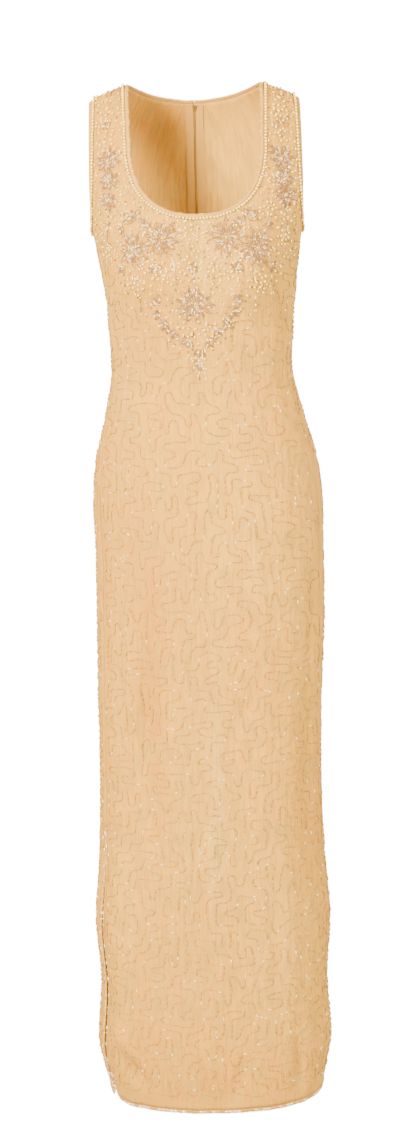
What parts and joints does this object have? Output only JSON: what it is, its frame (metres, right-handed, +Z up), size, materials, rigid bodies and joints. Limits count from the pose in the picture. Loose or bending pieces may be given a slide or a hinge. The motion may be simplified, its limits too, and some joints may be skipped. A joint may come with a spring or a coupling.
{
  "type": "evening gown",
  "caption": "Sleeveless floor-length column evening gown in its hollow worn form, with a deep round front neck, high back, side slits, bound edges and a centre back zip.",
  "frame": {"origin": "midway between the two shoulder seams, where the wearer carries the gown", "axes": "+Z up, -Y the front of the gown, +X the wearer's left"},
  "size_m": [0.3483, 0.249, 1.4706],
  "materials": {
    "silk": "crinkled silk georgette, champagne, covered in glass beads",
    "binding": "folded silk edge",
    "zip_tape": "woven tape",
    "zip_coil": "nylon coil",
    "zip_metal": "lacquered to the colour of the cloth"
  },
  "bodies": {
    "gown": {"front_panel": "silk", "back_panel_left": "silk", "back_panel_right": "silk", "neck_binding": "binding", "armhole_binding_left": "binding", "armhole_binding_right": "binding", "hem_front": "binding", "hem_back_left": "binding", "hem_back_right": "binding", "zip_tape_left": "zip_tape", "zip_tape_right": "zip_tape", "zip_coil": "zip_coil", "zip_slider": "zip_metal"},
    "pull": {"zip_pull": "zip_metal"}
  },
  "joints": [
    {"name": "pull_swing", "type": "hinge", "parent": "gown", "child": "pull", "pos_m": [0, 0.06809, -0.02676], "axis": [1, 0, 0], "range_deg": [0, 170]}
  ]
}
